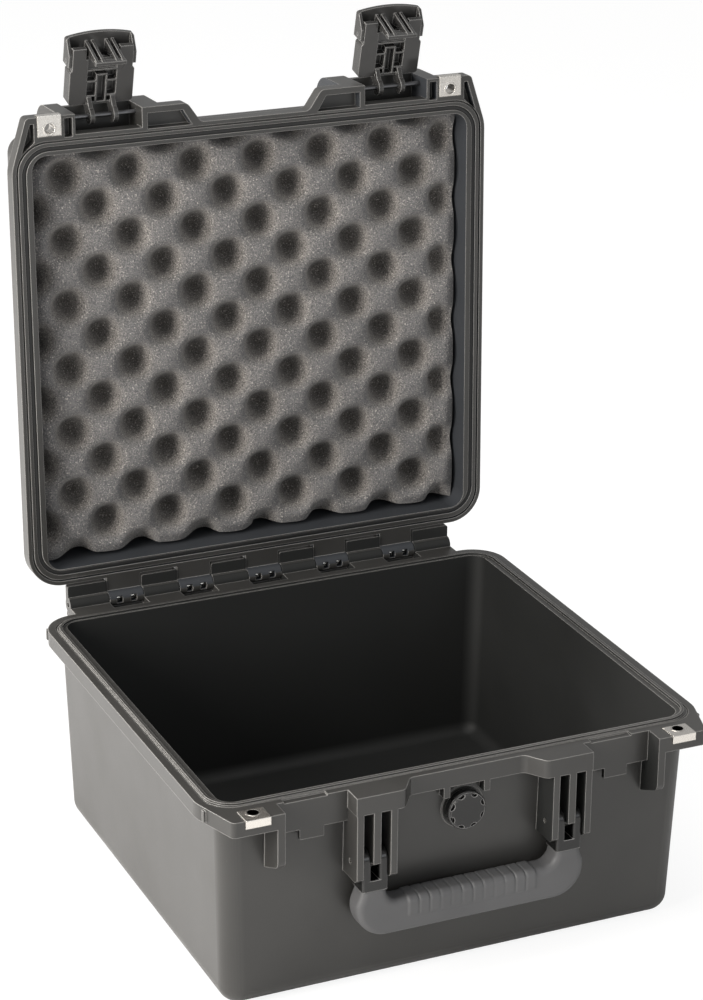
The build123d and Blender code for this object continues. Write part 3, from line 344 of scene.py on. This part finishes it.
def brightMetal(name, colour, roughness, brushed, hole=None):
    # Stainless steel: fine brushing, rounded edges and soft smears. An upright hole, the same
    # on the left and the right, can be darkened inside with painted shade.
    values = {
        "brushScale": 900.0,
        "smear": 0.86,
        "holeShade": (0.012, 0.012, 0.012, 1),
        "holeShadeEdge": 0.0003,
        "smoother": 0.08,
        "rougher": 0.1,
        "bumpStrength": 0.25,
        "bumpDepth": 0.00004,
    }
    material, tree, shader = newMaterial(name)
    place = tree.nodes.new("ShaderNodeTexCoord")
    stretch = tree.nodes.new("ShaderNodeMapping")
    stretch.inputs["Scale"].default_value = brushed
    brush = tree.nodes.new("ShaderNodeTexNoise")
    brush.inputs["Scale"].default_value = values["brushScale"]
    brush.inputs["Detail"].default_value = 4.0
    tree.links.new(place.outputs["Object"], stretch.inputs["Vector"])
    tree.links.new(stretch.outputs["Vector"], brush.inputs["Vector"])
    grain = placeGroup(tree, grainGroup, Scale=400.0, Broad=60.0)
    edges = placeGroup(tree, edgeGroup, Sharpness=6.0)
    metal = mixColour(tree, grain.outputs["Variation"],
                      [c * values["smear"] for c in colour] + [1], [*colour, 1])
    if hole is not None:
        mirrored = tree.nodes.new("ShaderNodeVectorMath")
        mirrored.operation = "ABSOLUTE"
        flat = tree.nodes.new("ShaderNodeVectorMath")
        flat.operation = "MULTIPLY"
        flat.inputs[1].default_value = (1, 1, 0)
        reach = tree.nodes.new("ShaderNodeVectorMath")
        reach.operation = "DISTANCE"
        reach.inputs[1].default_value = (hole["x"], hole["y"], 0)
        tree.links.new(place.outputs["Object"], mirrored.inputs[0])
        tree.links.new(mirrored.outputs["Vector"], flat.inputs[0])
        tree.links.new(flat.outputs["Vector"], reach.inputs[0])
        # Painted shade: the inside of the hole is coloured near black.
        holeShaded = rangeOf(tree, reach.outputs["Value"], 1.0, 0.0,
                        hole["radius"], hole["radius"] + values["holeShadeEdge"])
        metal = mixColour(tree, holeShaded, metal, values["holeShade"])
    tree.links.new(metal, shader.inputs["Base Color"])
    tree.links.new(
        rangeOf(tree, brush.outputs["Fac"], roughness - values["smoother"],
                roughness + values["rougher"], 0.3, 0.7),
        shader.inputs["Roughness"],
    )
    tree.links.new(
        bumpOver(tree, brush.outputs["Fac"], edges.outputs["Normal"],
                 values["bumpStrength"], values["bumpDepth"]),
        shader.inputs["Normal"],
    )
    shader.inputs["Metallic"].default_value = 1.0
    return material


def foamMaterial(name, dark, light):
    # Open-cell foam: fine cells with bright specks painted as glints, lighter and bluer on the crests
    # as painted light, and darker in the pits as painted shade.
    values = {
        "cellScale": 820.0,
        "speckScale": 800.0,
        "cloudScale": 14.0,
        "crestPaintedLight": (1.8, 2.05, 2.45),
        "pitPaintedShade": (0.7, 0.68, 0.66),
        "paintedGlintGain": 1.9,
        "bumpStrength": 0.85,
        "bumpDepth": 0.0006,
    }
    crestLitColour = [c * gain for c, gain in zip(dark, values["crestPaintedLight"])] + [1]
    pitShadeColour = [c * gain for c, gain in zip(dark, values["pitPaintedShade"])] + [1]
    paintedGlintColour = [c * values["paintedGlintGain"] for c in light] + [1]
    material, tree, shader = newMaterial(name)
    place = tree.nodes.new("ShaderNodeTexCoord")
    cells = tree.nodes.new("ShaderNodeTexVoronoi")
    cells.inputs["Scale"].default_value = values["cellScale"]
    specks = tree.nodes.new("ShaderNodeTexNoise")
    specks.inputs["Scale"].default_value = values["speckScale"]
    specks.inputs["Detail"].default_value = 2.0
    clouds = tree.nodes.new("ShaderNodeTexNoise")
    clouds.inputs["Scale"].default_value = values["cloudScale"]
    clouds.inputs["Detail"].default_value = 3.0
    for texture in (cells, specks, clouds):
        tree.links.new(place.outputs["Object"], texture.inputs["Vector"])
    depth = tree.nodes.new("ShaderNodeAttribute")
    depth.attribute_name = "pitDepth"
    base = mixColour(tree, rangeOf(tree, cells.outputs["Distance"], 0.0, 1.0, 0.1, 0.9),
                     [*light, 1], [*dark, 1])
    toned = mixColour(tree, rangeOf(tree, clouds.outputs["Fac"], 0.0, 0.3, 0.4, 0.65),
                      base, [*dark, 1])
    # Painted light and shade: by the pit depth, the crests are coloured lighter and bluer and the pits
    # darker.
    crest = mixColour(tree, rangeOf(tree, depth.outputs["Fac"], 0.45, 0.0, 0.05, 0.3),
                      toned, crestLitColour)
    pit = mixColour(tree, rangeOf(tree, depth.outputs["Fac"], 0.0, 0.6, 0.35, 0.9),
                    crest, pitShadeColour)
    # Painted glints: bright specks on the cells, brighter than the foam's light colour.
    speckled = mixColour(tree, rangeOf(tree, specks.outputs["Fac"], 0.0, 0.75, 0.58, 0.72),
                         pit, paintedGlintColour)
    tree.links.new(speckled, shader.inputs["Base Color"])
    tree.links.new(
        rangeOf(tree, cells.outputs["Distance"], 0.8, 1.0),
        shader.inputs["Roughness"],
    )
    tree.links.new(
        bumpOver(tree, cells.outputs["Distance"], None, values["bumpStrength"], values["bumpDepth"]),
        shader.inputs["Normal"],
    )
    shader.inputs["Specular IOR Level"].default_value = 0.15
    shader.inputs["Sheen Weight"].default_value = 0.2
    shader.inputs["Sheen Roughness"].default_value = 0.6
    return material


baseLow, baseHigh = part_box("base_shell")
lidLow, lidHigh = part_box("lid_shell")
# The pale colour of each look serves both the handling marks and the painted highlight along the edges.
shellLook = {
    "colour": (0.038, 0.037, 0.035), "wornAndEdgeHighlight": (0.36, 0.35, 0.335), "roughness": 0.34,
    "grainScale": 2600.0, "grainDepth": 0.00004, "specular": 0.5, "edgeHighlightShow": 0.8,
}
plateLook = {"colour": (0.80, 0.765, 0.715), "roughness": 0.26, "brushed": (1.0, 12.0, 1.0)}
eyelet = {"x": 0.1689, "y": 0.18825, "radius": 0.00412}
# The shells get painted shade on their inward faces: near black in the base, dark and bluish in the
# lid.
finish = {
    "shell": mouldedPlastic(
        "shellPlastic", **shellLook, insideShade=(0.006, 0.0065, 0.006), centre=(baseLow + baseHigh) / 2),
    "lidShell": mouldedPlastic(
        "lidPlastic", **shellLook, insideShade=(0.026, 0.029, 0.034), centre=(lidLow + lidHigh) / 2),
    "latch": mouldedPlastic(
        "latchPlastic", colour=(0.036, 0.035, 0.034), wornAndEdgeHighlight=(0.32, 0.315, 0.305), roughness=0.25,
        grainScale=3000.0, grainDepth=0.00003, specular=0.55, edgeHighlightShow=0.8),
    "hard": mouldedPlastic(
        "glossyNylon", colour=(0.008, 0.008, 0.008), wornAndEdgeHighlight=(0.42, 0.41, 0.40), roughness=0.15,
        grainScale=1500.0, grainDepth=0.00001, specular=0.5, edgeHighlightShow=0.9),
    "grip": mouldedPlastic(
        "softGrip", colour=(0.090, 0.090, 0.092), wornAndEdgeHighlight=(0.17, 0.17, 0.17), roughness=0.5,
        grainScale=1800.0, grainDepth=0.00008, specular=0.45, edgeHighlightShow=0.5),
    "seal": mouldedPlastic(
        "sealRubber", colour=(0.018, 0.018, 0.018), wornAndEdgeHighlight=(0.06, 0.06, 0.06), roughness=0.55,
        grainScale=1600.0, grainDepth=0.00005, specular=0.35, edgeHighlightShow=0.2),
    "plate": brightMetal("plateSteel", **plateLook),
    "basePlate": brightMetal("eyeletSteel", **plateLook, hole=eyelet),
    "pin": brightMetal("pinSteel", colour=(0.66, 0.64, 0.60), roughness=0.24, brushed=(12.0, 1.0, 1.0)),
    "rod": brightMetal(
        "darkSteel", colour=(0.16, 0.16, 0.165), roughness=0.34, brushed=(12.0, 1.0, 1.0)),
    "foam": foamMaterial("charcoalFoam", dark=(0.066, 0.061, 0.056), light=(0.27, 0.25, 0.231)),
}
nodeFinish = {
    "shell": ("base_shell",),
    "lidShell": ("lid_shell",),
    "latch": ("latch_body_left", "latch_body_right", "latch_button_left", "latch_button_right"),
    "hard": ("handle_core", "valve_body", "valve_cap", "valve_nut"),
    "grip": ("handle_grip",),
    "seal": ("lid_seal", "valve_gasket"),
    "plate": ("lid_plate_left", "lid_plate_right"),
    "basePlate": ("base_plate_left", "base_plate_right"),
    "pin": ("hinge_pin", "handle_pin_left", "handle_pin_right"),
    "rod": ("latch_rod_left", "latch_rod_right", "button_pin_left", "button_pin_right",
            "button_spring_left", "button_spring_right"),
    "foam": ("lid_foam",),
}
for key, names in nodeFinish.items():
    for name in names:
        piece = nodes[name]
        if not piece.material_slots:
            piece.data.materials.append(finish[key])
        for slot in piece.material_slots:
            slot.material = finish[key]
print("materials placed")


# Lid foam, with its egg-crate face.

def smoothStep(value, low, high):
    t = min(max((value - low) / (high - low), 0.0), 1.0)
    return t * t * (3 - 2 * t)


def foamPit(x, y, values):
    # Depth of the face below its crests, from 0 to 1: rounded pits on a staggered grid,
    # gentle on one side and steep on the other, as the cutter leaves them.
    u = (x - values["pitX"]) / values["pitchX"]
    v = (y - values["pitY"]) / values["pitchY"]
    nearest = 9.0
    for shift in (0.0, 0.5):
        du = u - shift - round(u - shift)
        dv = v - shift - round(v - shift)
        wide = values["steepSide"] if du > 0 else values["gentleSide"]
        nearest = min(nearest, math.hypot(du / wide, dv / values["pitTall"]))
    pit = 1 - smoothStep(nearest, values["floor"], 1.0)
    wave = 0.5 + 0.5 * math.cos(2 * math.pi * u) * math.cos(2 * math.pi * v)
    return (1 - values["swell"]) * pit + values["swell"] * wave


def buildLidFoam():
    values = {
        "pitchX": 0.0542,
        "pitchY": 0.0522,
        "pitX": -0.0425,
        "pitY": -0.3475,
        "steepSide": 0.25,
        "gentleSide": 0.42,
        "pitTall": 0.35,
        "floor": 0.10,
        "swell": 0.24,
        "depth": 0.027,
        "rightRim": 0.016,
        "rightKeep": 0.2,
        "hingeRim": 0.022,
        "hingeKeep": 0.55,
        "edgeSoft": 0.010,
        "edgeDrop": 0.004,
        "edgePull": 0.004,
        "faceGap": 0.0006,
        "backGap": 0.0005,
        "cell": 0.0022,
    }
    block = nodes["lid_foam"]
    # The block's own limits in the lid's frame.
    inverse = lidMatrix.inverted()
    corners = [inverse @ v.co for v in block.data.vertices]
    x0, x1 = min(c.x for c in corners), max(c.x for c in corners)
    y0, y1 = min(c.y for c in corners), max(c.y for c in corners)
    z0, z1 = min(c.z for c in corners), max(c.z for c in corners)
    bm = bmesh.new()
    columns = int((x1 - x0) / values["cell"])
    rows = int((y1 - y0) / values["cell"])
    bmesh.ops.create_grid(bm, x_segments=columns, y_segments=rows, size=0.5)
    bmesh.ops.scale(bm, vec=((x1 - x0), (y1 - y0), 1), verts=bm.verts)
    bmesh.ops.translate(bm, vec=((x0 + x1) / 2, (y0 + y1) / 2, z0), verts=bm.verts)
    bmesh.ops.reverse_faces(bm, faces=bm.faces)
    # The pit depth is kept on each vertex; the foam material paints light and shade from it.
    depthLayer = bm.verts.layers.float.new("pitDepth")
    border = [e for e in bm.edges if e.is_boundary]
    sides = bmesh.ops.extrude_edge_only(bm, edges=border)["geom"]
    backVerts = [g for g in sides if isinstance(g, bmesh.types.BMVert)]
    for v in backVerts:
        v.co.z = z1 - values["backGap"]
    backEdges = [g for g in sides if isinstance(g, bmesh.types.BMEdge) and g.is_boundary]
    bmesh.ops.holes_fill(bm, edges=backEdges, sides=0)
    for v in bm.verts:
        if v.co.z > (z0 + z1) / 2:
            continue
        x, y = v.co.x, v.co.y
        # The pits are shallower along the right and hinge edges.
        depth = foamPit(x, y, values)
        for gap, rim, keep in ((x1 - x, "rightRim", "rightKeep"), (y1 - y, "hingeRim", "hingeKeep")):
            depth *= values[keep] + (1 - values[keep]) * smoothStep(gap, 0.0, values[rim])
        v[depthLayer] = depth
        soft = 1 - smoothStep(min(x - x0, x1 - x, y - y0, y1 - y), 0.0, values["edgeSoft"])
        sunk = values["depth"] * depth + values["edgeDrop"] * soft * soft
        v.co.z = z0 + values["faceGap"] + sunk
        # Cut edges swell out at each pit.
        pull = values["edgePull"] * depth * soft
        v.co.x += pull * (1 if x < (x0 + x1) / 2 else -1)
        v.co.y += pull * (1 if y < (y0 + y1) / 2 else -1)
    bmesh.ops.transform(bm, matrix=lidMatrix, verts=bm.verts)
    bmesh.ops.recalc_face_normals(bm, faces=bm.faces)
    piece = addObject("foamLiner", bm, finish["foam"])
    shadeSmooth(piece, 60)
    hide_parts("lid_foam")
    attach(piece, "lid")


buildLidFoam()
print("foam built")


# Rubber and overmoulded pieces.

def mergedCopy(node):
    mergeDistance = 0.00001
    bm = bmesh.new()
    bm.from_mesh(nodes[node].data)
    bmesh.ops.remove_doubles(bm, verts=bm.verts, dist=mergeDistance)
    bmesh.ops.recalc_face_normals(bm, faces=bm.faces)
    return bm


def buildRubber(name, node, body, values):
    # The band of the CAD with its corners rolled over, as moulded rubber is.
    bm = mergedCopy(node)
    bmesh.ops.dissolve_limit(bm, angle_limit=math.radians(1), verts=bm.verts, edges=bm.edges)
    sharp = [e for e in bm.edges if e.is_manifold and e.calc_face_angle(0) > math.radians(50)]
    bmesh.ops.bevel(
        bm, geom=sharp, offset=values["round"], segments=values["segments"], profile=0.5,
        affect="EDGES", material=-1, clamp_overlap=True,
    )
    bmesh.ops.recalc_face_normals(bm, faces=bm.faces)
    piece = addObject(name, bm, finish["seal"])
    shadeSmooth(piece, 50)
    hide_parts(node)
    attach(piece, body)


def buildSoftGrip():
    # Overmould: the CAD form remeshed finely and relaxed, so the bands and ends are soft.
    values = {"voxel": 0.00065, "relax": 0.4, "passes": 2}
    piece = addObject("softGrip", mergedCopy("handle_grip"), finish["grip"])
    remesh = piece.modifiers.new("fine", "REMESH")
    remesh.mode = "VOXEL"
    remesh.voxel_size = values["voxel"]
    relax = piece.modifiers.new("relax", "SMOOTH")
    relax.factor = values["relax"]
    relax.iterations = values["passes"]
    applyModifiers(piece)
    shadeSmooth(piece, 180)
    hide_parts("handle_grip")
    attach(piece, "handle")


sealCord = {"round": 0.0007, "segments": 3}
buildRubber("lidSealCord", "lid_seal", "lid", sealCord)
gasketRing = {"round": 0.0004, "segments": 2}
buildRubber("valveGasketRing", "valve_gasket", "base", gasketRing)
buildSoftGrip()
print("rubber and grip built")


# Floor, camera and lights.

def buildFloor():
    values = {
        "colour": (0.86, 0.86, 0.86, 1),
        "roughness": 0.9,
        "glow": 1.1,
        "glowShare": 0.8,
        "halfWidth": 6.0,
        "drop": 0.0002,
    }
    material, tree, shader = newMaterial("paleFloor")
    shader.inputs["Base Color"].default_value = values["colour"]
    shader.inputs["Roughness"].default_value = values["roughness"]
    glow = tree.nodes.new("ShaderNodeEmission")
    glow.inputs["Strength"].default_value = values["glow"]
    path = tree.nodes.new("ShaderNodeLightPath")
    seen = tree.nodes.new("ShaderNodeMath")
    seen.operation = "MAXIMUM"
    tree.links.new(path.outputs["Is Camera Ray"], seen.inputs[0])
    tree.links.new(path.outputs["Is Transmission Ray"], seen.inputs[1])
    share = tree.nodes.new("ShaderNodeMath")
    share.operation = "MULTIPLY"
    share.inputs[1].default_value = values["glowShare"]
    tree.links.new(seen.outputs["Value"], share.inputs[0])
    mix = tree.nodes.new("ShaderNodeMixShader")
    output = tree.nodes["Material Output"]
    tree.links.new(share.outputs["Value"], mix.inputs[0])
    tree.links.new(shader.outputs[0], mix.inputs[1])
    tree.links.new(glow.outputs[0], mix.inputs[2])
    tree.links.new(mix.outputs[0], output.inputs["Surface"])
    bm = bmesh.new()
    bmesh.ops.create_grid(bm, x_segments=1, y_segments=1, size=values["halfWidth"])
    bmesh.ops.translate(bm, vec=(0, 0, -values["drop"]), verts=bm.verts)
    floor = addObject("studioFloor", bm, material)


def buildWorld():
    # White where the camera sees it, and a weaker light on the case.
    values = {"colour": (1, 1, 1, 1), "light": 0.45, "seen": 1.0}
    world = bpy.data.worlds.new("studioWorld")
    bpy.context.scene.world = world
    world.use_nodes = True
    tree = world.node_tree
    backdrop = tree.nodes["Background"]
    seen = tree.nodes.new("ShaderNodeBackground")
    for node, strength in ((backdrop, values["light"]), (seen, values["seen"])):
        node.inputs["Color"].default_value = values["colour"]
        node.inputs["Strength"].default_value = strength
    path = tree.nodes.new("ShaderNodeLightPath")
    either = tree.nodes.new("ShaderNodeMath")
    either.operation = "MAXIMUM"
    tree.links.new(path.outputs["Is Camera Ray"], either.inputs[0])
    tree.links.new(path.outputs["Is Transmission Ray"], either.inputs[1])
    mix = tree.nodes.new("ShaderNodeMixShader")
    tree.links.new(either.outputs["Value"], mix.inputs[0])
    tree.links.new(backdrop.outputs[0], mix.inputs[1])
    tree.links.new(seen.outputs[0], mix.inputs[2])
    tree.links.new(mix.outputs[0], tree.nodes["World Output"].inputs["Surface"])


def buildCamera():
    values = {
        "place": Vector((-0.8647, -1.88955, 1.1236)),
        "target": Vector((0.01209, 0.05105, 0.28349)),
        "roll": math.radians(0.502),
        "lens": 107.14,
        "sensor": 36.0,
    }
    forward = (values["target"] - values["place"]).normalized()
    right = forward.cross(Vector((0, 0, 1))).normalized()
    up = right.cross(forward)
    turn = values["roll"]
    rightTurned = right * math.cos(turn) + up * math.sin(turn)
    upTurned = up * math.cos(turn) - right * math.sin(turn)
    camera = bpy.data.cameras.new("viewCamera")
    camera.sensor_fit = "VERTICAL"
    camera.sensor_height = values["sensor"]
    camera.lens = values["lens"]
    holder = bpy.data.objects.new("viewCamera", camera)
    rotation = Matrix((rightTurned, upTurned, -forward)).transposed().to_4x4()
    holder.matrix_world = Matrix.Translation(values["place"]) @ rotation
    bpy.context.scene.collection.objects.link(holder)
    bpy.context.scene.camera = holder


def buildLamp(name, place, target, size, power, tint):
    lamp = bpy.data.lights.new(name, "AREA")
    lamp.shape = "RECTANGLE"
    lamp.size, lamp.size_y = size
    lamp.energy = power
    lamp.color = tint
    holder = bpy.data.objects.new(name, lamp)
    holder.location = place
    holder.rotation_euler = (Vector(target) - Vector(place)).to_track_quat("-Z", "Y").to_euler()
    bpy.context.scene.collection.objects.link(holder)


buildFloor()
buildWorld()
buildCamera()
lampSet = (
    {"name": "leftSoftbox", "place": (-2.4, -0.65, 1.2), "target": (0, 0.05, 0.28),
     "size": (1.1, 1.4), "power": 84.0, "tint": (1.0, 0.965, 0.92)},
    {"name": "backStrip", "place": (-1.8, 1.35, 1.2), "target": (-0.1, 0.0, 0.2),
     "size": (0.5, 1.5), "power": 48.0, "tint": (1.0, 0.97, 0.93)},
    {"name": "topSoftbox", "place": (-0.5, 0.1, 2.6), "target": (0, 0.1, 0.3),
     "size": (1.6, 1.4), "power": 24.0, "tint": (1.0, 0.99, 0.97)},
    {"name": "frontFill", "place": (0.6, -2.7, 0.9), "target": (0, 0, 0.2),
     "size": (1.4, 1.0), "power": 8.0, "tint": (0.92, 0.96, 1.0)},
)
for lamp in lampSet:
    buildLamp(**lamp)
bpy.context.scene.view_settings.view_transform = "Standard"
print("stage set")
